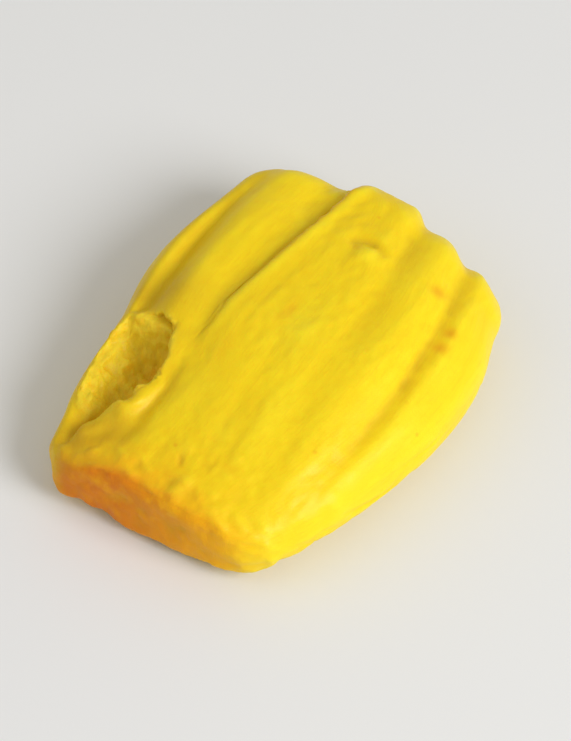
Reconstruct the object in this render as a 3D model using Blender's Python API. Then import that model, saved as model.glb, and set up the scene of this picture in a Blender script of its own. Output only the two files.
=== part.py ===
"""A dried jackfruit chip, lying flat: one pod of the fruit, its seed taken out, one end cut off, fried crisp.

Metres, +Z up. The pod's ribs run along Y. Its cut end faces -Y and its rounded tip +Y. The slit that the seed
came out of runs down its -X side, where it is torn open towards the cut end.
"""

import math

import bmesh
import bpy
import numpy as np
from mathutils import Vector, noise

CHIP_NAME = "jackfruit_chip"
MM = 0.001

# Plan of the pod in mm, at six stations that are shares of its length from the cut end to the tip.
STATIONS = (0.0, 0.2, 0.4, 0.6, 0.8, 1.0)
LEFT_SIDE = (-16.8, -17.9, -18.8, -19.8, -19.9, -18.2)
SLIT_LINE = (-15.2, -15.9, -16.2, -16.6, -16.6, -15.3)
FOLD_LINE = (-8.6, -7.4, -7.6, -7.2, -5.5, -4.6)
MIDDLE_LINE = (-1.2, -0.5, -0.6, -0.4, 0.2, -0.2)
NEXT_LINE = (6.6, 9.2, 8.0, 7.6, 6.6, 5.0)
OUTER_LINE = (11.0, 14.8, 15.6, 15.6, 14.6, 12.6)
RIGHT_SIDE = (13.8, 17.8, 19.6, 20.5, 20.2, 18.0)
SIDE_SHARE = 0.965

# Heights above the resting face at the stations, in mm.
CROWN = (9.8, 12.6, 14.0, 14.4, 13.9, 12.6)
WIDEST = (5.0, 5.4, 5.6, 5.6, 5.6, 5.8)
UNDERSIDE = (0.8, 0.35, -0.6, -0.6, 0.2, 1.6)
LEFT_FULLNESS = 3.5
RIGHT_FULLNESS = 2.35
UNDER_FULLNESS = 2.6

# Both ends of the pod: pairs of a rib coordinate and how far out it reaches in mm. The creases are 1 to 5.
CUT_CORNERS = ((0, -23.7), (0.8, -25.5), (1.6, -25.9)), ((5, -24.6), (5.6, -23.8), (6, -22.9))
CUT_END = (*CUT_CORNERS[0], (2, -24.9), (3.6, -25.1), *CUT_CORNERS[1])
TIP_CORNERS = ((0, 24.2), (1, 25.5), (1.6, 26.7)), ((4.5, 26.0), (5.4, 24.9), (6, 23.6))
TIP_END = (*TIP_CORNERS[0], (2, 26.6), (2.5, 27.6), (3.5, 27.7), *TIP_CORNERS[1])
CUT_EDGE_RADIUS = 1.3
CUT_CORNER = 0.9
CUT_FACE_SHARE = 0.86
TIP_RADIUS = 5.0
TIP_CORNER = 4.4
TIP_FACE_SHARE = 0.24
TIP_NOTCH = 0.9

# The creases: rib coordinate, depth in mm at the stations, and from 2 for a soft valley down to a narrow one.
CREASES = (
    (1, (1.6, 1.9, 2.0, 2.4, 2.3, 1.2), 1.4),
    (2, (0.0, 0.4, 0.7, 0.8, 1.0, 1.1), 1.2),
    (3, (0.1, 0.4, 0.6, 0.75, 0.4, 0.0), 1.7),
    (4, (0.1, 0.35, 0.6, 0.75, 0.8, 1.0), 1.5),
    (5, (0.2, 0.4, 0.7, 1.0, 1.2, 1.3), 1.2),
)

# The fold: the rib on its -X side sinks below the next one, which hangs over it. Drop and overhang in mm.
FOLD = 2
FOLD_DROP = (0.1, 0.3, 0.3, 0.8, 1.7, 2.1)
FOLD_OVERHANG = (0.0, 0.0, 0.0, 0.3, 0.7, 0.8)
FOLD_REACH = 0.09

UNDER_CREASE = 0.5
FLAT_SPOT = (13.0, 15.0)
LUMPS = 0.55
LUMP_SIZE = 10.0

# Columns across each rib, as shares of its width, closer together at the creases.
RIB_COLUMNS = (0.0, 0.08, 0.2, 0.35, 0.5, 0.65, 0.8, 0.92)
RIM_COLUMNS = (0.0, 0.3, 0.6, 0.85)
ROWS_CUT_EDGE = 3
ROWS_LENGTH = 32
ROWS_TIP = 8
ROWS_SIDE = 6
CUT_ZONE = -0.86
TIP_ZONE = 0.7

# The pocket torn out of the slit, in mm: it leans under its inner lip, and tapers and swerves to the cut end.
POCKET_CENTRE = (-13.3, -12.9, 11.0)
POCKET_HALF = (4.3, 8.8, 5.2)
POCKET_LEAN = 0.24
POCKET_TAPER = 0.4
POCKET_SWERVE = 0.55
TORN = 0.8
TORN_SIZE = 3.2


def along(values, share):
    """A smooth curve through values at the stations, read at each share of the length."""
    values = np.asarray(values)
    stations = np.asarray(STATIONS)
    slopes = np.gradient(values, stations)
    i = np.clip(np.searchsorted(stations, share) - 1, 0, len(stations) - 2)
    step = stations[i + 1] - stations[i]
    t = (share - stations[i]) / step
    return (
        values[i] * (1 + 2 * t) * (1 - t) ** 2
        + values[i + 1] * t * t * (3 - 2 * t)
        + step * slopes[i] * t * (1 - t) ** 2
        - step * slopes[i + 1] * t * t * (1 - t)
    )


def across(pairs, rib):
    """Straight runs between pairs of rib coordinate and value."""
    places, values = zip(*pairs)
    return np.interp(rib, places, values)


def line_x(rib, share):
    """Where a rib coordinate lies across the pod: 0 and 6 are the sides' shoulders, 1 to 5 the creases."""
    left = along(LEFT_SIDE, share)
    right = along(RIGHT_SIDE, share)
    middle = (left + right) / 2
    creases = [along(line, share) for line in (SLIT_LINE, FOLD_LINE, MIDDLE_LINE, NEXT_LINE, OUTER_LINE)]
    shoulders = [middle + (edge - middle) * SIDE_SHARE for edge in (left, right)]
    lines = np.array([shoulders[0], *creases, shoulders[1]])
    i = np.clip(np.floor(rib).astype(int), 0, len(lines) - 2)
    point = np.arange(len(rib))
    x = lines[i, point] + (lines[i + 1, point] - lines[i, point]) * (rib - i)
    return x, middle, (right - left) / 2


def crease_depth(rib, share):
    """How far the face lies under the crowns of its ribs: rounded ribs between creases."""
    depth = np.zeros_like(rib)
    for line, values, narrow in CREASES:
        away = np.clip(np.abs(rib - line), 0, 0.5)
        if line == FOLD:
            steep = 1 + 2 * along(FOLD_DROP, share) / max(FOLD_DROP)
            away = np.where(rib > line, np.clip(away * steep, 0, 0.5), away)
        depth += along(values, share) * (1 - np.sin(math.pi * away) ** narrow)
    sinking = np.clip(rib - FOLD + 1, 0, 1) * (rib <= FOLD)
    return depth + along(FOLD_DROP, share) * sinking**2


def under_depth(rib, x, y):
    """The back wall's shallower ribs, which lie between those of the face and fade out at the flat spot."""
    away = np.abs((rib + 0.5) % 1 - 0.5)
    spot = np.exp(-((x / FLAT_SPOT[0]) ** 4) - (y / FLAT_SPOT[1]) ** 4)
    return UNDER_CREASE * (1 - spot) * (1 - np.sin(math.pi * away))


def pod_points(box):
    """Where each point of a box from -1 to 1 each way lies on the pod, in mm."""
    a, b, c = box.T
    rib = 3 * (a + 1)
    share = np.clip((b - CUT_ZONE) / (TIP_ZONE - CUT_ZONE), 0, 1)
    cut_turn = np.clip((CUT_ZONE - b) / (CUT_ZONE + 1), 0, 1) * math.pi / 2
    tip_turn = np.clip((b - TIP_ZONE) / (1 - TIP_ZONE), 0, 1) * math.pi / 2
    crease = crease_depth(rib, share)

    start = across(CUT_END, rib) + CUT_EDGE_RADIUS
    stop = across(TIP_END, rib) - TIP_RADIUS
    tip = (TIP_RADIUS - TIP_NOTCH * crease * (np.abs(a) < 0.999)) * np.sin(tip_turn)
    y = start + (stop - start) * share - CUT_EDGE_RADIUS * np.sin(cut_turn) + tip

    x, middle, half_width = line_x(rib, share)
    crown, widest, under = (along(heights, share) for heights in (CROWN, WIDEST, UNDERSIDE))
    out = np.abs(x - middle) / half_width
    fullness = np.where(x < middle, LEFT_FULLNESS, RIGHT_FULLNESS)
    rise = (1 - out**fullness) ** (1 / fullness)
    fall = (1 - out**UNDER_FULLNESS) ** (1 / UNDER_FULLNESS)
    top = widest + (crown - widest) * rise - crease * np.sqrt(rise)
    bottom = widest - (widest - under - under_depth(rib, x, y)) * fall
    z = bottom + (top - bottom) * (c + 1) / 2

    side = np.abs(a) > 0.999
    high = np.arccos(SIDE_SHARE ** (fullness / 2))
    low = np.arccos(SIDE_SHARE ** (UNDER_FULLNESS / 2))
    turn = -low + (high + low) * (c + 1) / 2
    power = 2 / np.where(turn > 0, fullness, UNDER_FULLNESS)
    reach = np.where(turn > 0, crown - widest, widest - under)
    x = np.where(side, middle + np.sign(a) * half_width * np.cos(turn) ** power, x)
    z = np.where(side, widest + np.sign(turn) * reach * np.abs(np.sin(turn)) ** power, z)

    beyond = np.clip(rib - FOLD, 0, 1) / FOLD_REACH
    x -= along(FOLD_OVERHANG, share) * beyond * np.exp(1 - beyond) * (c + 1) / 2
    corner = CUT_CORNER * (1 - np.cos(cut_turn)) + TIP_CORNER * (1 - np.cos(tip_turn))
    x = middle + (x - middle) * (1 - corner / half_width)
    closing = (1 - CUT_FACE_SHARE) * (1 - np.cos(cut_turn)) + (1 - TIP_FACE_SHARE) * (1 - np.cos(tip_turn))
    z = widest + (z - widest) * (1 - closing)
    return np.stack([x, y, z], axis=1)


def box_cuts():
    """Where the box is cut into columns, rows and side rows, from -1 to 1."""
    ribs = [share for share in RIM_COLUMNS if share > 0]
    ribs += [line + share for line in range(1, 5) for share in RIB_COLUMNS]
    ribs += [5] + [6 - share for share in reversed(RIM_COLUMNS) if share > 0]
    columns = [rib / 3 - 1 for rib in ribs]
    rows = list(np.linspace(-1, CUT_ZONE, ROWS_CUT_EDGE + 1)[1:])
    rows += list(np.linspace(CUT_ZONE, TIP_ZONE, ROWS_LENGTH + 1)[1:])
    rows += list(np.linspace(TIP_ZONE, 1, ROWS_TIP + 1)[1:-1])
    side_rows = list(np.linspace(-1, 1, ROWS_SIDE + 1)[1:-1])
    return columns, rows, side_rows


def gridded_box():
    """A box from -1 to 1 each way, cut into a grid by planes along its three axes."""
    grid = bmesh.new()
    bmesh.ops.create_cube(grid, size=2)
    for axis, cuts in enumerate(box_cuts()):
        normal = Vector([float(axis == i) for i in range(3)])
        for cut in cuts:
            everything = grid.verts[:] + grid.edges[:] + grid.faces[:]
            bmesh.ops.bisect_plane(grid, geom=everything, plane_co=normal * cut, plane_no=normal)
    return grid


def rest_flat(body):
    """Cuts the body off at its resting face and closes it there with one flat face."""
    everything = body.verts[:] + body.edges[:] + body.faces[:]
    up = Vector((0, 0, 1))
    cut = bmesh.ops.bisect_plane(body, geom=everything, plane_no=up, clear_inner=True)
    rim = [edge for edge in cut["geom_cut"] if isinstance(edge, bmesh.types.BMEdge)]
    bmesh.ops.edgenet_fill(body, edges=rim)


def pod_body():
    """The whole pod, closed, with its ribs and its flat resting face."""
    body = gridded_box()
    points = pod_points(np.array([vert.co for vert in body.verts]))
    for vert, point in zip(body.verts, points):
        vert.co = point
    body.normal_update()
    for vert in body.verts:
        vert.co += vert.normal * LUMPS * noise.noise(vert.co / LUMP_SIZE)
    rest_flat(body)
    bmesh.ops.recalc_face_normals(body, faces=body.faces)
    return body


def pocket_cutter():
    """What is torn out of the slit: a leaning, tapered, swerving hollow with an uneven wall."""
    tool = bmesh.new()
    bmesh.ops.create_uvsphere(tool, u_segments=32, v_segments=18, radius=1)
    half = Vector(POCKET_HALF)
    for vert in tool.verts:
        x, y, z = vert.co
        taper = 1 + POCKET_TAPER * y
        swerve = POCKET_SWERVE * min(y, 0) ** 2
        vert.co = Vector((x * taper - swerve - POCKET_LEAN * z, y, z * taper)) * half
    tool.normal_update()
    for vert in tool.verts:
        vert.co += vert.normal * TORN * noise.noise(vert.co / TORN_SIZE)
    return tool


def new_folder(name):
    folder = bpy.data.collections.new(name)
    bpy.context.scene.collection.children.link(folder)
    return folder


def new_object(name, shape, folder):
    """A bmesh in mm as a named object in a collection of the scene, in metres."""
    bmesh.ops.scale(shape, vec=(MM, MM, MM), verts=shape.verts)
    mesh = bpy.data.meshes.new(name)
    shape.to_mesh(mesh)
    shape.free()
    made = bpy.data.objects.new(name, mesh)
    folder.objects.link(made)
    return made


def flesh_material():
    """Fried jackfruit flesh: golden yellow with a low, oily shine."""
    flesh = bpy.data.materials.new("jackfruit_flesh")
    flesh.use_nodes = True
    shader = flesh.node_tree.nodes["Principled BSDF"]
    shader.inputs["Base Color"].default_value = (0.86, 0.55, 0.03, 1)
    shader.inputs["Roughness"].default_value = 0.42
    shader.inputs["Metallic"].default_value = 0
    return flesh


def main():
    for old in list(bpy.data.objects):
        bpy.data.objects.remove(old)
    parts = new_folder("dried jackfruit chip")
    tools = new_folder("cutters")

    chip = new_object(CHIP_NAME, pod_body(), parts)
    chip.data.materials.append(flesh_material())
    chip.data.shade_smooth()
    chip.data.set_sharp_from_angle(angle=math.radians(50))

    pocket = new_object("pocket_cutter", pocket_cutter(), tools)
    pocket.hide_render = True
    pocket.display_type = "WIRE"
    tear = chip.modifiers.new("torn pocket", "BOOLEAN")
    tear.operation = "DIFFERENCE"
    tear.object = pocket

    corners = np.array([vert.co for vert in chip.data.vertices])
    off_centre = Vector((corners.min(axis=0) + corners.max(axis=0)) / 2)
    chip.location = (-off_centre.x, -off_centre.y, 0)
    pocket.location = chip.location + Vector(POCKET_CENTRE) * MM


main()
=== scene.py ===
"""A dried jackfruit chip, finished from its plain solid: skin, folds, torn pocket, cut end, flesh and stage.

Metres, +Z up. The ribs run along Y, the cut end faces -Y, and the slit with its torn pocket is on the -X side.
The sculpting works in millimetres, and the tables of places below are in millimetres too.
"""

import math

import bpy
import numpy as np
from bpy.props import FloatProperty, FloatVectorProperty, IntProperty, PointerProperty
from mathutils import Matrix, Vector, noise


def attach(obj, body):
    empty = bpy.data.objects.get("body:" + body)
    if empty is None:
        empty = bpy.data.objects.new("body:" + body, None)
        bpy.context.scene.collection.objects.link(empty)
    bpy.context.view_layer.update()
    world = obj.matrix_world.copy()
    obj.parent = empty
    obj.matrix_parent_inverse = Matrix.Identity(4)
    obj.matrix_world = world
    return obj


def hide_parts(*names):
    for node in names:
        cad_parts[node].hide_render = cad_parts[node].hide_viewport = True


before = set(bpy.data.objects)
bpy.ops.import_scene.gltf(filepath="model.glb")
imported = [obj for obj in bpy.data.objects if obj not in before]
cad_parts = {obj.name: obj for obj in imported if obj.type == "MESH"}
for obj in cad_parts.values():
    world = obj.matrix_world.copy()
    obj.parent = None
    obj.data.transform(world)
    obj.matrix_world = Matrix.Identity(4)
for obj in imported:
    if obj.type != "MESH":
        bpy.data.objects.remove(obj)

bl_info = {
    "name": "Dried jackfruit chip",
    "version": (1, 0, 0),
    "blender": (4, 5, 0),
    "location": "3D View > Sidebar > Jackfruit",
    "description": "Finishes the plain solid of a dried jackfruit chip: its folds, torn pocket, skin and flesh",
    "category": "Object",
}

NODE = "jackfruit_chip"
BODY = "root"
PIECE = "chip_flesh"
MM = 0.001

# Lines on the face, from the cut end to the tip, as points across and along the chip.
FOLD_LINE = (
    (-8.2, -24.0), (-7.8, -20.3), (-7.6, -17.3), (-7.9, -14.8), (-8.2, -10.5), (-8.1, -6.5), (-7.6, -2.5),
    (-7.6, 2.1), (-7.1, 6.5), (-6.2, 11.5), (-5.7, 15.5), (-5.4, 19.5), (-4.9, 23.5), (-4.5, 29.0),
)
SLIT_LINE = (
    (-15.6, -7.0), (-16.0, -3.2), (-16.3, 1.4), (-16.9, 6.4), (-17.0, 10.9), (-17.1, 15.0), (-16.6, 19.2),
    (-16.0, 22.5), (-15.6, 28.0),
)
OUTER_GROOVE = (
    (10.5, -21.0), (12.9, -15.0), (14.7, -7.8), (15.1, -1.2), (14.6, 5.5), (14.2, 11.2), (13.5, 15.2), (12.7, 20.7),
)
TAIL_LINE = ((-15.2, -23.6), (-14.7, -22.0), (-14.0, -20.2), (-13.1, -18.3), (-11.9, -16.9), (-10.6, -15.9))
LIP_VALLEY = ((-9.6, -23.0), (-8.2, -19.5), (-7.9, -15.5), (-8.2, -10.5), (-8.2, -6.0))
NICK_LINE = ((-0.5, -21.9), (-1.0, -20.9), (-1.7, -19.9))
DIMPLE_LINE = ((-0.9, 14.8), (0.1, 16.2), (2.2, 16.4), (4.0, 15.5))
# The broad grooves that are filled out: line, and how much of the fill it gets.
SOFT_GROOVES = (
    (((-1.6, -24.7), (-0.9, -15.4), (-1.0, -6.1), (-0.8, 3.2), (-0.2, 12.5), (-0.6, 21.8)), 2.7),
    (((6.2, -24.5), (8.8, -15.2), (7.6, -6.0), (7.2, 3.2), (6.2, 12.4), (4.6, 21.5)), 1.0),
)
WRINKLES = (
    ((3.0, -20.5), (3.6, -14.0), (3.4, -8.0), (3.9, -2.0)),
    ((-4.6, -6.0), (-4.3, 1.0), (-3.6, 8.0), (-2.6, 15.0)),
    ((-12.2, -1.0), (-12.4, 6.0), (-11.6, 13.0), (-10.4, 20.0)),
    ((9.2, 2.0), (9.9, 9.0), (9.6, 15.0), (8.6, 20.5)),
)

# Half widths of the lines, and the depths that aren't settings.
CREASE_WIDTH = 0.24
SLIT_WIDTH = 0.8
VALLEY_WIDTH = 1.3
SOFT_WIDTH = 2.1
WRINKLE_WIDTH = 0.6
NICK_WIDTH, NICK_DEPTH = 0.35, 0.22
OUTER_WIDTH, OUTER_DEPTH = 1.0, 0.28
DIMPLE_WIDTH, DIMPLE_DEPTH = 0.8, 0.42

# Small marks on the face: place, radius and height, which is below nought for a pit.
MARKS = (
    ((15.3, 11.3), 0.9, -0.12), ((15.5, 8.8), 1.0, -0.1), ((11.3, 15.2), 0.9, -0.06),
    ((0.9, -23.0), 1.0, 0.45), ((11.4, -22.9), 1.2, 0.3), ((16.5, -15.1), 1.3, 0.25), ((1.9, 14.4), 1.3, 0.38),
    ((2.0, 0.0), 1.2, 0.2), ((-3.2, -23.6), 1.0, 0.25), ((6.4, -23.6), 1.1, 0.25), ((-6.0, -23.0), 0.9, 0.25),
)
# Patches on the face, each a place, half width, half length and strength: painted highlights and painted light, orange
# browned patches, and painted shade.
PAINTED_LIGHT_SPOTS = (
    ((1.6, 0.4), 2.2, 3.6, 0.7), ((0.9, -23.0), 0.9, 0.7, 0.7), ((11.0, -22.4), 1.2, 0.8, 0.6),
    ((5.5, -10.0), 1.6, 5.0, 0.4), ((17.2, -3.0), 1.0, 4.5, 0.5), ((16.0, -12.5), 1.1, 3.0, 0.6),
    ((-3.5, -12.0), 1.6, 4.0, 0.35), ((1.5, -15.5), 1.4, 2.6, 0.45), ((17.3, 6.0), 0.9, 3.0, 0.5),
    ((2.0, 14.2), 1.0, 1.2, 0.5),
)
STAINS = (
    ((-0.9, 2.1), 0.8, 1.9, 0.5), ((-4.3, -6.5), 0.7, 2.2, 0.3), ((-9.0, -9.5), 0.6, 2.5, 0.1),
    ((0.5, 14.9), 0.9, 0.6, 0.35), ((4.9, -19.3), 1.2, 0.7, 0.3), ((14.9, 3.2), 0.5, 2.4, 0.1),
    ((12.6, -24.4), 2.2, 1.2, 0.25), ((-8.2, -16.6), 1.1, 2.2, 0.06),
)
# Painted shade on the corner by the cut end and on the flank above the pocket, which turn away from the light.
SHADE_PATCHES = (((-15.2, -23.6), 2.0, 2.2, 0.5), ((-14.2, -1.0), 3.2, 3.8, 0.6))

# The hollow that was torn out of the slit, as in the solid.
POCKET_CENTRE = np.array((-13.72, -13.82, 11.0))
POCKET_HALF = np.array((4.3, 8.8, 5.2))
POCKET_LEAN = 0.24
POCKET_TAPER = 0.4
POCKET_LEAST_TAPER = 0.3
POCKET_SWERVE = 0.55
POCKET_FIBRES = Vector((-0.41, 0.66, 0.63))

# The dark tongue between the pocket's tail and the cut end: its middle, the way it points, and its half sizes.
TONGUE_MIDDLE = (-11.6, -20.9)
TONGUE_WAY = (0.95, 0.31)
TONGUE_LENGTH = 3.6
TONGUE_WIDTH = 1.9
TONGUE_DEPTH = 0.6

# How many times a part of the surface moves towards the mean of its neighbours.
SLIT_PASSES = 50
CORNER_PASSES = 60
POCKET_PASSES = 8
RIM_PASSES = 25
CUT_EDGE_PASSES = 45
CUT_TONE_PASSES = 12
TONE_PASSES = 2

# The grain spreads each of the rows across the chip evenly over a fixed half width.
GRAIN_ROWS = 40
GRAIN_HALF = 19.0
LEAST_HALF = 9.0
# A bulge or a hollow of this height counts as a full edge or a full crease.
FULL_BEND = 0.16

# The flesh's patterns: noise scales on metres, and on the grain, where they are long along the ribs.
PATCH_SCALE = 130.0
BLOTCH_SCALE = 380.0
DOT_SCALE = 420.0
SCORCH_SCALE = 700.0
MOTTLE_SCALE = 900.0
CRUMB_SCALE = 2600.0
TORN_SCALE = (1500.0, 600.0, 900.0)
STREAK_SCALE = (0.85, 0.07, 0.5)
FIBRE_SCALE = (4.5, 0.28, 2.5)
# Shares of red, green and blue that turn the flesh's colour into the pale tone of its painted highlights, and the cut
# face's colour golden.
HIGHLIGHT_TINT = (1.04, 1.14, 2.5)
GOLDEN_SHADE = (1.33, 2.85, 1.5)
SHINE = {
    "Metallic": 0.0, "IOR": 1.4, "Specular IOR Level": 0.22, "Coat Weight": 0.11, "Coat Roughness": 0.3,
    "Subsurface Radius": (1.0, 0.5, 0.1),
}

FLOOR_SIZE = 4.0
FLOOR_ROUGHNESS = 0.85
ROOM_COLOUR = (1.0, 0.965, 0.9, 1.0)
# What the camera looks at, and the lights' places round it: to the camera's right, up and towards it.
CHIP_MIDDLE = Vector((0, 0, 6 * MM))
KEY_PLACE, KEY_SIZE = Vector((0.56, -0.02, 0.67)), 0.5
FILL_PLACE, FILL_SIZE = Vector((-0.7, 0.3, 0.5)), 0.6
CLIP_START, CLIP_END = 0.01, 20.0


class ChipShape(bpy.types.PropertyGroup):
    """What the chip's surface is made of."""

    facet: FloatProperty(
        name="Facet", description="Size of the faces of the finished mesh", default=0.262 * MM, min=0.2 * MM,
        unit="LENGTH", subtype="DISTANCE")
    smoothing: IntProperty(
        name="Smoothing", description="Passes that take the solid's facets out of the skin", default=20, min=0)
    crispness: FloatProperty(
        name="Crispness", description="How much the ribs and creases stand out after smoothing", default=0.15, min=0)
    fold_depth: FloatProperty(
        name="Fold depth", description="Depth of the crease under the folded rib", default=0.5 * MM, unit="LENGTH",
        subtype="DISTANCE")
    fold_lip: FloatProperty(
        name="Fold lip", description="How far the folded rib's edge stands up over its crease", default=0.3 * MM,
        unit="LENGTH", subtype="DISTANCE")
    fold_rise: FloatProperty(
        name="Fold rise", description="How far the rib under the fold swells up against it", default=0.85 * MM,
        unit="LENGTH", subtype="DISTANCE")
    groove_fill: FloatProperty(
        name="Groove fill", description="How much the two broad grooves of the face are filled out",
        default=0.25 * MM, unit="LENGTH", subtype="DISTANCE")
    valley_depth: FloatProperty(
        name="Valley depth", description="Depth of the soft valley beside the pocket's lip", default=0.4 * MM,
        unit="LENGTH", subtype="DISTANCE")
    slit_depth: FloatProperty(
        name="Slit depth", description="Depth of the closed part of the seed slit", default=0.2 * MM, unit="LENGTH",
        subtype="DISTANCE")
    wrinkle_depth: FloatProperty(
        name="Wrinkle depth", description="Depth of the fine wrinkles between the ribs", default=0.08 * MM,
        unit="LENGTH", subtype="DISTANCE")
    lip_height: FloatProperty(
        name="Lip height", description="How far the torn pocket's lip is raised", default=0.45 * MM, unit="LENGTH",
        subtype="DISTANCE")
    pocket_fill: FloatProperty(
        name="Pocket fill", description="How far torn fibres raise the pocket's floor", default=0.9 * MM,
        unit="LENGTH", subtype="DISTANCE")
    torn_relief: FloatProperty(
        name="Torn relief", description="Relief of the torn fibres in the pocket", default=0.3 * MM, unit="LENGTH",
        subtype="DISTANCE")
    cut_relief: FloatProperty(
        name="Cut relief", description="Unevenness of the cut face", default=0.22 * MM, unit="LENGTH",
        subtype="DISTANCE")
    skin_relief: FloatProperty(
        name="Skin relief", description="Height of the skin's soft swellings", default=0.16 * MM, unit="LENGTH",
        subtype="DISTANCE")


class ChipFlesh(bpy.types.PropertyGroup):
    """The colours and the shine of the fried flesh."""

    flesh: FloatVectorProperty(
        name="Flesh", description="Colour of the ribs where the flesh is palest", subtype="COLOR", size=3, min=0,
        max=1, default=(0.94, 0.695, 0.008))
    deep: FloatVectorProperty(
        name="Deep flesh", description="Colour of the denser patches and fibres", subtype="COLOR", size=3, min=0,
        max=1, default=(0.90, 0.61, 0.005))
    # Painted shade: this colour is mixed into the hollows, along the fold and the slit, and onto the tongue and the
    # flanks that turn away from the light; it also darkens some of the torn fibres.
    crease: FloatVectorProperty(
        name="Creases", description="Colour deep in the creases, where the oil gathers", subtype="COLOR", size=3,
        min=0, max=1, default=(0.58, 0.345, 0.008))
    cut: FloatVectorProperty(
        name="Cut face", description="Colour of the browned cut face", subtype="COLOR", size=3, min=0, max=1,
        default=(0.70, 0.16, 0.002))
    torn: FloatVectorProperty(
        name="Torn fibres", description="Colour of the dry fibres in the torn pocket", subtype="COLOR", size=3,
        min=0, max=1, default=(0.90, 0.68, 0.03))
    # Also painted shade: this colour is mixed along the upper part of the fold's crease.
    specks_and_fold_shade: FloatVectorProperty(
        name="Specks", description="Colour of the small toasted dots", subtype="COLOR", size=3, min=0, max=1,
        default=(0.82, 0.36, 0.006))
    roughness: FloatProperty(
        name="Roughness", description="From 0 for wet to 1 for dry", default=0.42, min=0, max=1, subtype="FACTOR")
    glow: FloatProperty(
        name="Glow", description="How much light goes into the flesh and out again", default=0.25, min=0, max=1,
        subtype="FACTOR")
    glow_depth: FloatProperty(
        name="Glow depth", description="How deep the light goes into the flesh", default=0.8 * MM, unit="LENGTH",
        subtype="DISTANCE")


class ChipStage(bpy.types.PropertyGroup):
    """The floor, the lights and the camera."""

    floor: FloatVectorProperty(
        name="Floor", description="Colour of the floor", subtype="COLOR", size=3, min=0, max=1,
        default=(0.82, 0.83, 0.84))
    room: FloatProperty(name="Room light", description="Strength of the light from all round", default=0.5, min=0)
    key: FloatProperty(
        name="Key light", description="Power of the soft light from above and the right", default=5.5, min=0,
        unit="POWER")
    fill: FloatProperty(
        name="Fill light", description="Power of the weak light from the left", default=0.5, min=0, unit="POWER")
    turn: FloatProperty(
        name="Turn", description="How far the camera stands round to the right of the cut end",
        default=math.radians(32.2), unit="ROTATION", subtype="ANGLE")
    height: FloatProperty(
        name="Height", description="How far the camera looks down", default=math.radians(50.9), unit="ROTATION",
        subtype="ANGLE")
    distance: FloatProperty(
        name="Distance", description="From the camera to the chip", default=0.9, unit="LENGTH", subtype="DISTANCE")
    width: FloatProperty(
        name="View width", description="How much the view takes in across the chip", default=66.0 * MM,
        unit="LENGTH", subtype="DISTANCE")


def ramp(low, high, value):
    """From 0 at low to 1 at high, eased at both ends; low may be the larger."""
    t = np.clip((value - low) / (high - low), 0, 1)
    return t * t * (3 - 2 * t)


def hump(away, width):
    """A bell of the given half width."""
    return np.exp(-((away / width) ** 2))


def flesh_piece():
    """The finished chip's object, which the first operator makes."""
    piece = bpy.data.objects.get(PIECE)
    if piece is None:
        raise RuntimeError("the flesh body isn't there: run that step first")
    return piece


def read_points(piece):
    """The places and the normals of a piece's vertices, in mm."""
    count = len(piece.data.vertices)
    points, normals = np.empty(count * 3), np.empty(count * 3)
    piece.data.vertices.foreach_get("co", points)
    piece.data.vertices.foreach_get("normal", normals)
    return points.reshape(-1, 3) / MM, normals.reshape(-1, 3)


def write_points(piece, points):
    """Puts a piece's vertices at these places in mm, none of them under the resting face."""
    points = points.copy()
    points[:, 2] = np.maximum(points[:, 2], 0)
    piece.data.vertices.foreach_set("co", (points * MM).ravel())
    piece.data.update()


def read_edges(piece):
    """The pairs of vertices that a piece's edges join."""
    edges = np.empty(len(piece.data.edges) * 2, dtype=np.int64)
    piece.data.edges.foreach_get("vertices", edges)
    return edges.reshape(-1, 2)


def relax(values, edges, passes, share=0.5):
    """Values at the vertices after each has moved towards the mean of its neighbours, pass by pass."""
    first, second = edges.T
    count = len(values)
    links = np.bincount(edges.ravel(), minlength=count)
    values = values.reshape(count, -1).copy()
    for _ in range(passes):
        for axis in range(values.shape[1]):
            column = values[:, axis]
            total = np.bincount(first, column[second], count) + np.bincount(second, column[first], count)
            values[:, axis] = column + share * (total / links - column)
    return values


def soften(points, edges, mask, passes):
    """Relaxes the points in place, as far as a mask says at each."""
    points += mask[:, None] * (relax(points, edges, passes) - points)


def lumps(points, sizes, seed=0.0):
    """Smooth noise from -1 to 1 at each point, with lumps of this size in mm, or of these along x, y and z."""
    scaled = points / np.asarray(sizes) + seed
    return np.array([noise.noise(Vector(point)) for point in scaled])


def smooth_line(line, steps=8):
    """A smooth curve through the points of a line."""
    line = np.asarray(line, dtype=float)
    padded = np.vstack([2 * line[0] - line[1], line, 2 * line[-1] - line[-2]])
    t = np.linspace(0, 1, steps, endpoint=False)[:, None]
    runs = []
    for a, b, c, d in zip(padded, padded[1:], padded[2:], padded[3:]):
        square, cube = 2 * a - 5 * b + 4 * c - d, 3 * b - a - 3 * c + d
        runs.append(0.5 * (2 * b + (c - a) * t + square * t**2 + cube * t**3))
    return np.vstack([*runs, line[-1:]])


def beside_line(points, line):
    """How far each point is to the right of a line in plan, looking along it, and its share of the line's length."""
    curve = smooth_line(line)
    start, step = curve[:-1], np.diff(curve, axis=0)
    length = np.linalg.norm(step, axis=1)
    reached = np.concatenate([[0], np.cumsum(length)])
    best = np.full(len(points), np.inf)
    side, share = np.zeros(len(points)), np.zeros(len(points))
    for a, d, size, before in zip(start, step, length, reached):
        away = points[:, :2] - a
        t = np.clip(away @ d / size**2, 0, 1)
        far = np.linalg.norm(away - t[:, None] * d, axis=1)
        nearer = far < best
        best = np.where(nearer, far, best)
        side = np.where(nearer, np.sign(away[:, 0] * d[1] - away[:, 1] * d[0]), side)
        share = np.where(nearer, (before + t * size) / reached[-1], share)
    return best * side, share


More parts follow.
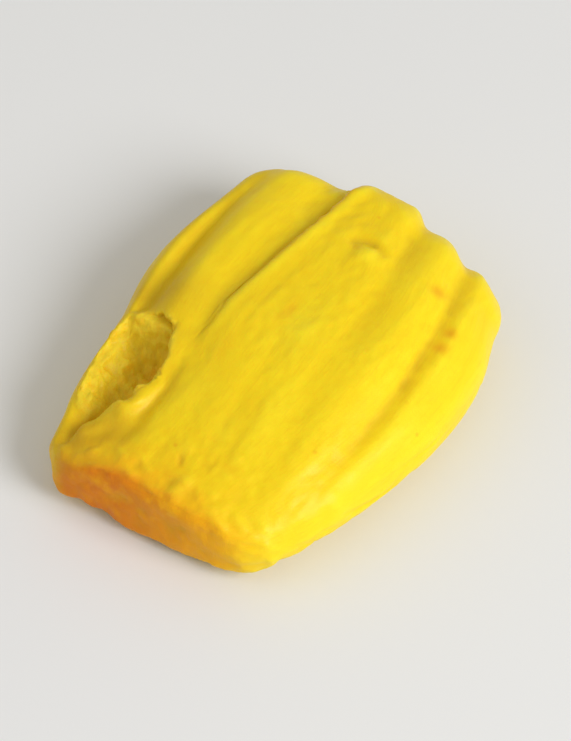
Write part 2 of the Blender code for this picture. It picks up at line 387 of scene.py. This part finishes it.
def furrow(points, line, width, blunt=1.0, sway=0.0):
    """1 along the middle of a line, fading to nought beside it and at its ends, later where blunt is below 1."""
    side, share = beside_line(points, line)
    return np.sin(math.pi * share) ** blunt * hump(side + sway, width)


def plan_distance(points, place):
    """How far each point is from a place on the face, in plan."""
    return np.linalg.norm(points[:, :2] - place, axis=1)


def spots(points, table):
    """The soft patches of a table, added up at each point."""
    total = np.zeros(len(points))
    for (x, y), wide, long, strength in table:
        total += strength * hump(points[:, 0] - x, wide) * hump(points[:, 1] - y, long)
    return total


def pocket_reach(points):
    """Roughly how far each point lies outside the hollow of the torn pocket, in mm."""
    x, y, z = ((points - POCKET_CENTRE) / POCKET_HALF).T
    taper = np.maximum(1 + POCKET_TAPER * y, POCKET_LEAST_TAPER)
    z = z / taper
    x = (x + POCKET_SWERVE * np.minimum(y, 0) ** 2 + POCKET_LEAN * z) / taper
    return (np.sqrt(x**2 + y**2 + z**2) - 1) * POCKET_HALF[0]


def tongue(points):
    """1 in the middle of the dark tongue between the pocket's tail and the cut end, fading to nought round it."""
    x, y = (points[:, :2] - TONGUE_MIDDLE).T
    ahead, aside = TONGUE_WAY
    return hump(ahead * x + aside * y, TONGUE_LENGTH) * hump(ahead * y - aside * x, TONGUE_WIDTH)


def face_up(normals):
    """1 where the surface faces up, and nought on the lower flanks and the underside."""
    return ramp(-0.25, 0.35, normals[:, 2])


class CHIP_OT_body(bpy.types.Operator):
    """Copies the plain solid, gives it an even, fine mesh and takes its facets out"""

    bl_idname = "jackfruit.body"
    bl_label = "Flesh body"

    def execute(self, context):
        shape = context.scene.chip_shape
        bpy.ops.object.select_all(action="DESELECT")
        piece = bpy.data.objects.new(PIECE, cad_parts[NODE].data.copy())
        context.scene.collection.objects.link(piece)
        piece.select_set(True)
        context.view_layer.objects.active = piece
        bpy.ops.object.mode_set(mode="EDIT")
        bpy.ops.mesh.select_all(action="SELECT")
        bpy.ops.mesh.remove_doubles(threshold=0.001 * MM)
        bpy.ops.object.mode_set(mode="OBJECT")

        even = piece.modifiers.new("even mesh", "REMESH")
        even.mode = "VOXEL"
        even.voxel_size = shape.facet
        even.use_smooth_shade = True
        bpy.ops.object.modifier_apply(modifier=even.name)

        points, _ = read_points(piece)
        edges = read_edges(piece)
        soft = relax(points, edges, shape.smoothing)
        softer = relax(soft, edges, 6 * shape.smoothing)
        write_points(piece, soft + shape.crispness * (soft - softer))
        return {"FINISHED"}


def fold_moves(points, shape):
    """How far the skin moves out at the fold, in mm: a thin, broken crease, its lip, and the rib swelling under it."""
    side, share = beside_line(points, FOLD_LINE)
    wavy = side + 0.4 * lumps(points, 2.0, 3.7)
    crisp = ramp(0.42, 0.85, share)
    crease = np.maximum(crisp, 0.45 * ramp(0.3, 0.42, share)) * (1 + 0.5 * lumps(points, 3.0, 8.3))
    filled = 0.5 * np.maximum(crisp, 0.6 * ramp(0.35, 0.45, share)) * hump(side + 0.5, 1.3)
    filled += 0.36 * ramp(0.2, 0.32, share) * ramp(0.72, 0.5, share) * hump(side, 1.2)
    lip = shape.fold_lip / MM * crisp * hump(wavy - 1.0, 0.8)
    rise = shape.fold_rise / MM * crisp * hump(wavy + 1.6, 1.4)
    return filled + lip + rise - shape.fold_depth / MM * crease * hump(wavy, CREASE_WIDTH)


def slit_moves(points, shape):
    """How far the skin moves out at the closed slit, in mm: a fine line in a valley that is filled out."""
    side, share = beside_line(points, SLIT_LINE)
    wavy = side + 0.3 * lumps(points, 2.0, 9.1)
    filled = 0.4 * hump(side - 0.4, 1.4) + 0.45 * hump(side - 2.6, 1.5)
    return ramp(0.0, 0.2, share) * (filled - shape.slit_depth / MM * hump(wavy, SLIT_WIDTH))


def groove_moves(points, shape):
    """How far the skin moves out at the other lines of the face, in mm."""
    move = -shape.valley_depth / MM * furrow(points, LIP_VALLEY, VALLEY_WIDTH, blunt=0.6)
    move -= NICK_DEPTH * furrow(points, NICK_LINE, NICK_WIDTH)
    move -= OUTER_DEPTH * furrow(points, OUTER_GROOVE, OUTER_WIDTH, blunt=0.7)
    for line, fill in SOFT_GROOVES:
        move += fill * shape.groove_fill / MM * furrow(points, line, SOFT_WIDTH)
    for number, line in enumerate(WRINKLES):
        sway = 0.5 * lumps(points, 4.0, 20.0 + number)
        move -= shape.wrinkle_depth / MM * furrow(points, line, WRINKLE_WIDTH, sway=sway)
    return move


class CHIP_OT_folds(bpy.types.Operator):
    """Cuts the crease under the folded rib, the closed part of the seed slit and the fine wrinkles"""

    bl_idname = "jackfruit.folds"
    bl_label = "Folds and slit"

    def execute(self, context):
        shape = context.scene.chip_shape
        piece = flesh_piece()
        points, normals = read_points(piece)
        above = face_up(normals)
        move = fold_moves(points, shape) + slit_moves(points, shape) + groove_moves(points, shape)
        points += normals * (move * above)[:, None]

        side, share = beside_line(points, SLIT_LINE)
        slit = 0.9 * hump(side + 0.6, 2.6) * ramp(0.0, 0.15, share) * above
        soften(points, read_edges(piece), slit, SLIT_PASSES)
        write_points(piece, points)
        return {"FINISHED"}


# In the next functions x, y and z are views of the points: they follow their moves, and a change to z moves them.


def sink_corner(points, normals, edges):
    """Lowers and softens the thin corner and the tongue between the pocket's tail and the cut end."""
    x, y, z = points.T
    corner = ramp(-16.5, -21.0, y) * face_up(normals)
    z -= 1.1 * corner * hump(x + 13.4, 2.6)
    z -= 0.6 * corner * hump(x + 16.9, 1.2)
    soften(points, edges, ramp(-18.0, -20.0, y) * ramp(-9.5, -11.0, x), CORNER_PASSES)
    z -= TONGUE_DEPTH * tongue(points) * face_up(normals)


def wave_rim(points, reach):
    """Moves the pocket's inner rim in and out."""
    x, _, z = points.T
    outward = points[:, :2] - POCKET_CENTRE[:2]
    outward /= np.linalg.norm(outward, axis=1)[:, None]
    waves = lumps(points, 3.0, 31.3) * hump(reach, 1.2) * ramp(8.0, 10.0, z) * ramp(-14.5, -12.5, x)
    points[:, :2] += 1.7 * outward * waves[:, None]


def curl_lip(points, normals, reach, height):
    """Rolls up the pocket's inner lip and the torn edge of its tail."""
    x, y, _ = points.T
    inner = ramp(-12.6, -10.6, x) * ramp(-5.5, -9.0, y)
    tail = ramp(-15.0, -17.0, y) * ramp(-15.5, -13.5, x)
    roll = np.maximum(inner, tail) * hump(reach - 1.0, 1.2) * (1 + 0.5 * lumps(points, 3.0, 12.4))
    side, share = beside_line(points, TAIL_LINE)
    torn_edge = ramp(0.0, 0.25, share) * ramp(1.0, 0.8, share)
    roll += torn_edge * (0.8 * hump(side - 1.1, 1.0) - 1.7 * hump(side + 0.15, 0.42))
    points += normals * (height * roll * face_up(normals))[:, None]


def fill_floor(points, normals, wall, rise):
    """Raises the pocket's floor with torn fibres, and arches its end towards the closed slit."""
    x, y, z = points.T
    floor = ramp(10.0, 7.5, z) * wall * ramp(0.0, 0.5, normals[:, 2])
    z += floor * rise * (1.35 - 0.12 * (x + 17))
    arch = np.minimum(7.2 + 2.2 * (y + 8.3), 11.8)
    z += wall * ramp(-8.6, -7.9, y) * np.maximum(arch - z, 0)


def tear_wall(points, normals, torn, relief):
    """Tears the pocket's wall into fibres that lean along it, and crumbs between them."""
    turned = points @ np.array(POCKET_FIBRES.to_track_quat("Y", "Z").to_matrix())
    rough = lumps(turned, (0.65, 1.6, 0.65), 5.3) + lumps(points, 0.8, 8.8) + 1.1 * lumps(points, 1.5, 1.9)
    points += normals * (relief * torn * rough)[:, None]


class CHIP_OT_pocket(bpy.types.Operator):
    """Tears the pocket's wall into fibres and curls its lip"""

    bl_idname = "jackfruit.pocket"
    bl_label = "Torn pocket"

    def execute(self, context):
        shape = context.scene.chip_shape
        piece = flesh_piece()
        points, normals = read_points(piece)
        edges = read_edges(piece)

        sink_corner(points, normals, edges)
        reach = pocket_reach(points)
        wall = ramp(0.7, 0.1, reach)
        inside = ramp(0.45, 0.08, relax(ramp(0.1, 0.5, reach), edges, RIM_PASSES)[:, 0])
        wave_rim(points, reach)
        curl_lip(points, normals, reach, shape.lip_height / MM)
        fill_floor(points, normals, wall, shape.pocket_fill / MM)
        soften(points, edges, wall, POCKET_PASSES)
        soften(points, edges, 0.8 * hump(reach - 0.4, 0.7) * (1 - inside), POCKET_PASSES)
        tear_wall(points, normals, wall * inside, shape.torn_relief / MM)
        write_points(piece, points)
        return {"FINISHED"}


class CHIP_OT_cut_end(bpy.types.Operator):
    """Roughens the cut face and softens its edge"""

    bl_idname = "jackfruit.cut_end"
    bl_label = "Cut end"

    def execute(self, context):
        shape = context.scene.chip_shape
        piece = flesh_piece()
        points, normals = read_points(piece)
        x, y, z = points.T
        edge = ramp(-21.8, -23.4, y) * ramp(4.0, 6.5, z) * ramp(-17.5, -15.0, x)
        soften(points, read_edges(piece), edge, CUT_EDGE_PASSES)

        cut = ramp(-21.5, -23.5, y) * ramp(-0.35, -0.8, normals[:, 1])
        uneven = 1.5 * lumps(points, (3.2, 3.2, 2.4), 2.2) + 0.4 * lumps(points, (1.1, 1.1, 0.9), 6.1)
        lobe = hump(x + 13.6, 1.5) * hump(z - 1.6, 1.6)
        notch = hump(x + 11.2, 0.7) * hump(z - 0.9, 1.3)
        uneven += 3.2 * (lobe - notch)
        knobs = np.maximum(lumps(points, (1.7, 1.4, 1.7), 14.2), -0.2)
        move = shape.cut_relief / MM * (cut * (uneven - 0.5) + 1.8 * edge * (1 - cut) * knobs)
        write_points(piece, points + normals * move[:, None])
        return {"FINISHED"}


class CHIP_OT_skin(bpy.types.Operator):
    """Gives the skin its soft swellings, lengthwise grain, blisters, dimples and pits"""

    bl_idname = "jackfruit.skin"
    bl_label = "Skin"

    def execute(self, context):
        shape = context.scene.chip_shape
        piece = flesh_piece()
        points, normals = read_points(piece)
        x, y, _ = points.T
        above = face_up(normals)
        swellings = lumps(points, (4.2, 9.0, 4.2), 4.4) + 0.25 * lumps(points, (1.5, 7.0, 1.8), 7.7)
        pebbled = ramp(-0.35, 0.35, lumps(points, (6.0, 9.0, 6.0), 40.2)) * ramp(-10.0, -6.0, x)
        pebbles = (0.18 + 0.34 * pebbled) * lumps(points, (1.0, 1.5, 1.0), 17.3)
        flank = ramp(0.35, -0.25, normals[:, 2]) * ramp(0.75, 0.35, np.abs(normals[:, 1]))
        ridges = hump(lumps(points, (3.0, 16.0, 3.0), 50.6), 0.09)
        ridges += 0.5 * hump(lumps(points, (1.5, 9.0, 1.5), 61.3), 0.1)
        blistered = hump(x - 3.0, 5.5) * hump(y + 19.5, 3.2) * above
        blisters = blistered * lumps(points, (0.95, 1.1, 1.0), 2.9)
        move = shape.skin_relief / MM * (swellings + pebbles - 1.5 * flank * ridges + 0.9 * blisters)

        move -= DIMPLE_DEPTH * furrow(points, DIMPLE_LINE, DIMPLE_WIDTH, blunt=0.7) * above
        for place, radius, height in MARKS:
            move += height * hump(plan_distance(points, place), radius) * above
        write_points(piece, points + normals * move[:, None])
        return {"FINISHED"}


def grain(points):
    """The points with their width spread evenly, so that patterns on them follow the ribs round the outline."""
    x, y, z = points.T
    rows = np.linspace(y.min(), y.max(), GRAIN_ROWS)
    slots = np.clip(np.searchsorted(rows, y), 1, GRAIN_ROWS - 1)
    taken = [x[slots == row] for row in range(1, GRAIN_ROWS)]
    left, right = np.array([(across.min(), across.max()) if len(across) else (0, 0) for across in taken]).T
    middles = (rows[1:] + rows[:-1]) / 2
    centre = np.interp(y, middles, (left + right) / 2)
    half = np.maximum(np.interp(y, middles, (right - left) / 2), LEAST_HALF)
    return np.stack([(x - centre) / half * GRAIN_HALF, y, z], axis=1)


def painted_shade_share(points):
    """Where shade is painted into the flesh's colour: the tongue, the corner, the inner flank, and along the fold and
    the slit, which lie in creases or turn away from the light.
    """
    x, y, _ = points.T
    # Painted shade on the tongue, the corner and the flank above the pocket, then on the inner flank, the fold's
    # crease and the slit's valley.
    shaded = 1.2 * tongue(points) + spots(points, SHADE_PATCHES)
    shaded += 0.3 * ramp(-6.5, -9.5, x) * ramp(4.0, -3.0, y)
    side, share = beside_line(points, FOLD_LINE)
    shaded += 0.65 * ramp(0.35, 0.6, share) * hump(side, 0.55)
    side, share = beside_line(points, SLIT_LINE)
    shaded += 0.5 * ramp(0.0, 0.15, share) * np.maximum(hump(side - 0.3, 1.2), hump(side + 1.6, 1.8))
    return np.clip(shaded, 0, 1)


def toasting_and_fold_shade(points):
    """Where the flesh is browned orange: the nick, the pits and the stains, and painted shade along the upper part of
    the fold's crease.
    """
    toast_and_fold_shade = 0.45 * furrow(points, NICK_LINE, NICK_WIDTH) + spots(points, STAINS)
    side, share = beside_line(points, FOLD_LINE)
    # Painted shade: the upper part of the fold's crease is painted brown-orange.
    toast_and_fold_shade += 0.5 * ramp(0.5, 0.75, share) * hump(side, 0.45)
    for place, radius, height in MARKS:
        if height < 0:
            toast_and_fold_shade += hump(plan_distance(points, place), 0.9 * radius)
    return toast_and_fold_shade


def cut_share(points, normals, edges):
    """1 on the browned cut face, with an uneven edge, kept off the thin corner above its foot."""
    x, y, z = points.T
    facing = relax(normals, edges, CUT_TONE_PASSES)[:, 1] + 0.12 * lumps(points, (2.2, 2.2, 1.4), 3.1)
    cut = ramp(-21.8, -23.8, y) * ramp(-0.05, -0.85, facing) * ramp(12.5, 7.0, x)
    cut *= np.maximum(ramp(-16.0, -13.0, x), 0.8 * ramp(5.5, 3.0, z))
    return relax(cut, edges, CUT_TONE_PASSES)


def store(piece, name, values):
    """Keeps numbers, or vectors, at a piece's vertices for its material to read."""
    kind, slot = ("FLOAT_VECTOR", "vector") if values.shape[-1] == 3 else ("FLOAT", "value")
    layer = piece.data.attributes.new(name, kind, "POINT")
    layer.data.foreach_set(slot, np.asarray(values, dtype=np.float32).ravel())


def surface_attributes(piece):
    """Stores what the flesh's material needs to know of the form: its grain, the hollows and flanks where shade is
    painted, the edges and spots where highlights are painted, its cut face and pocket, and its browned marks with the
    fold's painted shade.
    """
    points, normals = read_points(piece)
    edges = read_edges(piece)
    above = face_up(normals)
    reach = pocket_reach(points)
    fine = relax(points, edges, 4)
    bend = np.einsum("ij,ij->i", fine - relax(fine, edges, 40), normals) / FULL_BEND
    # Painted shade: the concave creases, and the tongue, the corner, the flanks, the fold and the slit, take the
    # crease colour.
    hollow = np.maximum(np.clip(-bend, 0, 1) ** 1.5, painted_shade_share(points) * above)
    # Painted highlights: the convex ridges away from the pocket, and the listed pale spots, take a pale tone.
    edge = np.clip(bend, 0, 1) * ramp(0.5, 3.0, reach) + spots(points, PAINTED_LIGHT_SPOTS) * above

    store(piece, "grain", grain(points))
    store(piece, "hollow", relax(hollow, edges, TONE_PASSES))
    store(piece, "edge", relax(np.clip(edge, 0, 1), edges, TONE_PASSES))
    store(piece, "cut_face", cut_share(points, normals, edges))
    store(piece, "torn", relax(ramp(0.6, 0.0, reach), edges, TONE_PASSES))
    store(piece, "toast_and_fold_shade", np.clip(toasting_and_fold_shade(points) * above, 0, 1))


class Nodes:
    """Builds a material's nodes, from left to right."""

    def __init__(self, material):
        material.use_nodes = True
        self.tree = material.node_tree
        self.shader = self.tree.nodes["Principled BSDF"]
        self.made = 0

    def add(self, kind, inputs=(), **settings):
        """A node of this kind, with its inputs given by name or number as values or as sockets to link."""
        node = self.tree.nodes.new(kind)
        for name, value in settings.items():
            setattr(node, name, value)
        for name, value in dict(inputs).items():
            if isinstance(value, bpy.types.NodeSocket):
                self.tree.links.new(value, node.inputs[name])
            else:
                node.inputs[name].default_value = value
        self.made += 1
        node.location = (-2600 + 170 * (self.made // 4), 300 - 220 * (self.made % 4))
        return node

    def stored(self, name):
        """The node that reads what store keeps under a name."""
        return self.add("ShaderNodeAttribute", attribute_name=name, attribute_type="GEOMETRY")

    def stretch(self, vector, scale):
        """A vector times the scale along each axis."""
        return self.add("ShaderNodeVectorMath", {0: vector, 1: scale}, operation="MULTIPLY").outputs[0]

    def noise(self, vector, scale, detail=3.0, roughness=0.5):
        """Smooth noise from 0 to 1."""
        return self.add("ShaderNodeTexNoise", {
            "Vector": vector, "Scale": scale, "Detail": detail, "Roughness": roughness}).outputs["Fac"]

    def span(self, value, low, high, bottom=0.0, top=1.0):
        """From bottom at low to top at high, held beyond them."""
        return self.add("ShaderNodeMapRange", {
            "Value": value, "From Min": low, "From Max": high, "To Min": bottom, "To Max": top}).outputs["Result"]

    def math(self, operation, *values):
        """One sum, product or maximum."""
        return self.add("ShaderNodeMath", dict(enumerate(values)), operation=operation).outputs[0]

    def blend(self, share, under, over):
        """One colour over another by a share."""
        return self.add("ShaderNodeMix", {
            "Factor": share, 6: under, 7: over}, data_type="RGBA").outputs[2]


def shade(tone, factors):
    """A colour with its red, green and blue multiplied, none past 1."""
    return (*(min(part * factor, 1) for part, factor in zip(tone, factors)), 1)


def flesh_material(colours):
    """Fried fruit flesh: golden, fibrous along the ribs, orange where it is cut, with a little shine; shade is painted
    into its creases and turned-away flanks, and highlights onto its ridges and some spots.
    """
    material = bpy.data.materials.new("Fried jackfruit flesh")
    nodes = Nodes(material)
    tones = {name: (*getattr(colours, name), 1.0) for name in ("flesh", "deep", "crease", "cut", "torn", "specks_and_fold_shade")}
    golden = shade(tones["cut"], GOLDEN_SHADE)
    place = nodes.add("ShaderNodeTexCoord").outputs["Object"]
    axes = nodes.add("ShaderNodeSeparateXYZ", {"Vector": place}).outputs
    grain_place = nodes.stored("grain").outputs["Vector"]
    hollow, edge, cut, torn, toast_and_fold_shade = (
        nodes.stored(name).outputs["Fac"] for name in ("hollow", "edge", "cut_face", "torn", "toast_and_fold_shade"))

    patches = nodes.noise(place, PATCH_SCALE, 4.0, 0.55)
    mottled = nodes.noise(place, MOTTLE_SCALE, 3.0, 0.6)
    crumbs = nodes.noise(place, CRUMB_SCALE, 3.0, 0.6)
    streaks = nodes.noise(nodes.stretch(grain_place, STREAK_SCALE), 1.0, 3.0, 0.55)
    fibres = nodes.noise(nodes.stretch(grain_place, FIBRE_SCALE), 1.0, 4.0, 0.6)
    torn_fibres = nodes.noise(nodes.stretch(place, TORN_SCALE), 1.0, 4.0, 0.65)

    # The ribs: denser patches and fibres on the flesh, and painted highlights, a pale tone on the ridges and on spots.
    colour = nodes.blend(nodes.span(patches, 0.38, 0.66, 0.0, 0.6), tones["flesh"], tones["deep"])
    colour = nodes.blend(nodes.span(streaks, 0.45, 0.75, 0.0, 0.4), colour, tones["deep"])
    colour = nodes.blend(nodes.span(mottled, 0.48, 0.72, 0.0, 0.4), colour, tones["deep"])
    colour = nodes.blend(nodes.span(fibres, 0.52, 0.8, 0.0, 0.17), colour, tones["cut"])
    colour = nodes.blend(nodes.math("MULTIPLY", edge, 0.6), colour, shade(tones["flesh"], HIGHLIGHT_TINT))

    # The face turns golden in blotches towards the cut end.
    browning = nodes.math(
        "MULTIPLY", nodes.span(axes["Y"], -0.0165, -0.0255, 0.0, 0.7), nodes.span(axes["X"], 0.007, -0.005, 0.25, 1.0))
    blotches = nodes.span(nodes.noise(place, BLOTCH_SCALE, 4.0, 0.6), 0.3, 0.62)
    colour = nodes.blend(nodes.math("MULTIPLY", browning, blotches), colour, golden)

    # The cut face is darker orange towards its foot, with painted shade on the left, where it turns away from the key
    # light, and painted light, a golden tone, on the right.
    mottle_and_painted_light = nodes.math(
        "MULTIPLY", nodes.span(nodes.noise(place, BLOTCH_SCALE), 0.36, 0.64, 0.0, 0.85),
        nodes.span(axes["Z"], 0.001, 0.008, 0.25, 1.0))
    mottle_and_painted_light = nodes.math("MULTIPLY", mottle_and_painted_light, nodes.span(axes["X"], -0.013, -0.005, 0.35, 1.0))
    mottle_and_painted_light = nodes.math("MAXIMUM", mottle_and_painted_light, nodes.span(axes["X"], -0.009, 0.008, 0.0, 1.0))
    colour = nodes.blend(nodes.math("MULTIPLY", cut, 0.95), colour, nodes.blend(mottle_and_painted_light, tones["cut"], golden))

    # The torn pocket, then painted shade in the creases and on the turned-away flanks, the browned marks with painted
    # shade along the fold, and the small dots over everything.
    torn_tone = nodes.blend(nodes.span(torn_fibres, 0.42, 0.68, 0.0, 0.22), tones["torn"], tones["crease"])
    torn_tone = nodes.blend(nodes.span(nodes.noise(place, SCORCH_SCALE), 0.5, 0.72, 0.0, 0.5), torn_tone, golden)
    colour = nodes.blend(torn, colour, torn_tone)
    # Painted shade: the crease colour in the hollows and on the turned-away flanks, less of it in the pocket.
    crease_and_flank_shade = nodes.math("MULTIPLY", hollow, nodes.span(patches, 0.3, 0.7, 0.5, 0.75))
    crease_and_flank_shade = nodes.math("MULTIPLY", crease_and_flank_shade, nodes.span(torn, 0.0, 1.0, 1.0, 0.3))
    colour = nodes.blend(crease_and_flank_shade, colour, tones["crease"])
    # Browned marks, and painted shade along the fold's crease, in the speck colour.
    colour = nodes.blend(nodes.math("MULTIPLY", toast_and_fold_shade, 0.7), colour, tones["specks_and_fold_shade"])
    dots = nodes.add("ShaderNodeTexVoronoi", {"Vector": place, "Scale": DOT_SCALE, "Randomness": 1.0})
    chosen = nodes.add("ShaderNodeSeparateColor", {"Color": dots.outputs["Color"]}).outputs[0]
    small = nodes.math("MULTIPLY", nodes.span(chosen, 0.8, 0.98), nodes.span(dots.outputs["Distance"], 0.16, 0.05))
    colour = nodes.blend(nodes.math("MULTIPLY", small, 0.5), colour, tones["specks_and_fold_shade"])

    # Torn and cut flesh is drier, and its fibres stand out more.
    dry = nodes.math("MAXIMUM", torn, nodes.math("MULTIPLY", cut, 0.6))
    rough = nodes.span(streaks, 0.3, 0.7, colours.roughness - 0.06, colours.roughness + 0.1)
    rough = nodes.math("ADD", rough, nodes.math("MULTIPLY", dry, 0.25))
    relief = nodes.math("ADD", nodes.math("MULTIPLY", fibres, 0.6), nodes.math("MULTIPLY", crumbs, 0.4))
    relief = nodes.math("ADD", relief, nodes.math("MULTIPLY", nodes.math("MULTIPLY", torn_fibres, dry), 3.0))
    bump = nodes.add("ShaderNodeBump", {"Height": relief, "Strength": 0.7, "Distance": 0.12 * MM})

    links, inputs = nodes.tree.links, nodes.shader.inputs
    links.new(colour, inputs["Base Color"])
    links.new(rough, inputs["Roughness"])
    links.new(bump.outputs["Normal"], inputs["Normal"])
    for name, value in SHINE.items():
        inputs[name].default_value = value
    inputs["Subsurface Weight"].default_value = colours.glow
    inputs["Subsurface Scale"].default_value = colours.glow_depth
    return material


class CHIP_OT_flesh(bpy.types.Operator):
    """Gives the chip its fried flesh, and puts it in the place of the plain solid"""

    bl_idname = "jackfruit.flesh"
    bl_label = "Fried flesh"

    def execute(self, context):
        piece = flesh_piece()
        surface_attributes(piece)
        piece.data.materials.clear()
        piece.data.materials.append(flesh_material(context.scene.chip_flesh))
        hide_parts(NODE)
        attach(piece, BODY)
        return {"FINISHED"}


def soft_light(name, power, size, place):
    """Adds a round soft light that shines on the chip."""
    bpy.ops.object.light_add(type="AREA")
    lamp = bpy.context.active_object
    lamp.name = lamp.data.name = name
    lamp.data.shape = "DISK"
    lamp.data.size = size
    lamp.data.energy = power
    lamp.location = place
    lamp.rotation_euler = (place - CHIP_MIDDLE).to_track_quat("Z", "Y").to_euler()


class CHIP_OT_stage(bpy.types.Operator):
    """Sets the pale floor, the soft lights and the camera"""

    bl_idname = "jackfruit.stage"
    bl_label = "Floor, light and camera"

    def execute(self, context):
        stage = context.scene.chip_stage
        bpy.ops.object.select_all(action="DESELECT")
        bpy.ops.mesh.primitive_plane_add(size=FLOOR_SIZE)
        floor = context.active_object
        floor.name = "floor"
        pale = bpy.data.materials.new("Matt pale floor")
        pale.use_nodes = True
        pale.node_tree.nodes["Principled BSDF"].inputs["Base Color"].default_value = (*stage.floor, 1)
        pale.node_tree.nodes["Principled BSDF"].inputs["Roughness"].default_value = FLOOR_ROUGHNESS
        floor.data.materials.append(pale)

        world = bpy.data.worlds.new("Soft room light")
        world.use_nodes = True
        world.node_tree.nodes["Background"].inputs["Color"].default_value = ROOM_COLOUR
        world.node_tree.nodes["Background"].inputs["Strength"].default_value = stage.room
        context.scene.world = world

        right = Vector((math.cos(stage.turn), math.sin(stage.turn), 0))
        towards = Vector((
            math.sin(stage.turn) * math.cos(stage.height), -math.cos(stage.turn) * math.cos(stage.height),
            math.sin(stage.height)))
        view = Matrix((right, towards.cross(right), towards)).transposed()
        soft_light("key light", stage.key, KEY_SIZE, CHIP_MIDDLE + view @ KEY_PLACE)
        soft_light("fill light", stage.fill, FILL_SIZE, CHIP_MIDDLE + view @ FILL_PLACE)

        bpy.ops.object.camera_add()
        camera = context.active_object
        camera.name = "camera"
        camera.data.sensor_fit = "HORIZONTAL"
        camera.data.lens = camera.data.sensor_width * stage.distance / stage.width
        camera.data.clip_start = CLIP_START
        camera.data.clip_end = CLIP_END
        camera.location = CHIP_MIDDLE + towards * stage.distance
        camera.rotation_euler = view.to_euler()
        context.scene.camera = camera
        context.scene.view_settings.view_transform = "Standard"
        return {"FINISHED"}


STEPS = (CHIP_OT_body, CHIP_OT_folds, CHIP_OT_pocket, CHIP_OT_cut_end, CHIP_OT_skin, CHIP_OT_flesh, CHIP_OT_stage)


class CHIP_PT_panel(bpy.types.Panel):
    """The chip's settings and steps, in their order"""

    bl_idname = "CHIP_PT_panel"
    bl_label = "Dried jackfruit chip"
    bl_space_type = "VIEW_3D"
    bl_region_type = "UI"
    bl_category = "Jackfruit"

    def draw(self, context):
        layout = self.layout
        for group in ("chip_shape", "chip_flesh", "chip_stage"):
            settings = getattr(context.scene, group)
            box = layout.box()
            for name in settings.__annotations__:
                box.prop(settings, name)
        for step in STEPS:
            layout.operator(step.bl_idname)


CLASSES = (ChipShape, ChipFlesh, ChipStage, *STEPS, CHIP_PT_panel)


def register():
    for made in CLASSES:
        bpy.utils.register_class(made)
    bpy.types.Scene.chip_shape = PointerProperty(type=ChipShape)
    bpy.types.Scene.chip_flesh = PointerProperty(type=ChipFlesh)
    bpy.types.Scene.chip_stage = PointerProperty(type=ChipStage)


def unregister():
    del bpy.types.Scene.chip_stage
    del bpy.types.Scene.chip_flesh
    del bpy.types.Scene.chip_shape
    for made in reversed(CLASSES):
        bpy.utils.unregister_class(made)


def main():
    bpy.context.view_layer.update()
    register()
    bpy.ops.jackfruit.body()
    bpy.ops.jackfruit.folds()
    bpy.ops.jackfruit.pocket()
    bpy.ops.jackfruit.cut_end()
    bpy.ops.jackfruit.skin()
    bpy.ops.jackfruit.flesh()
    bpy.ops.jackfruit.stage()


if __name__ == "__main__":
    main()
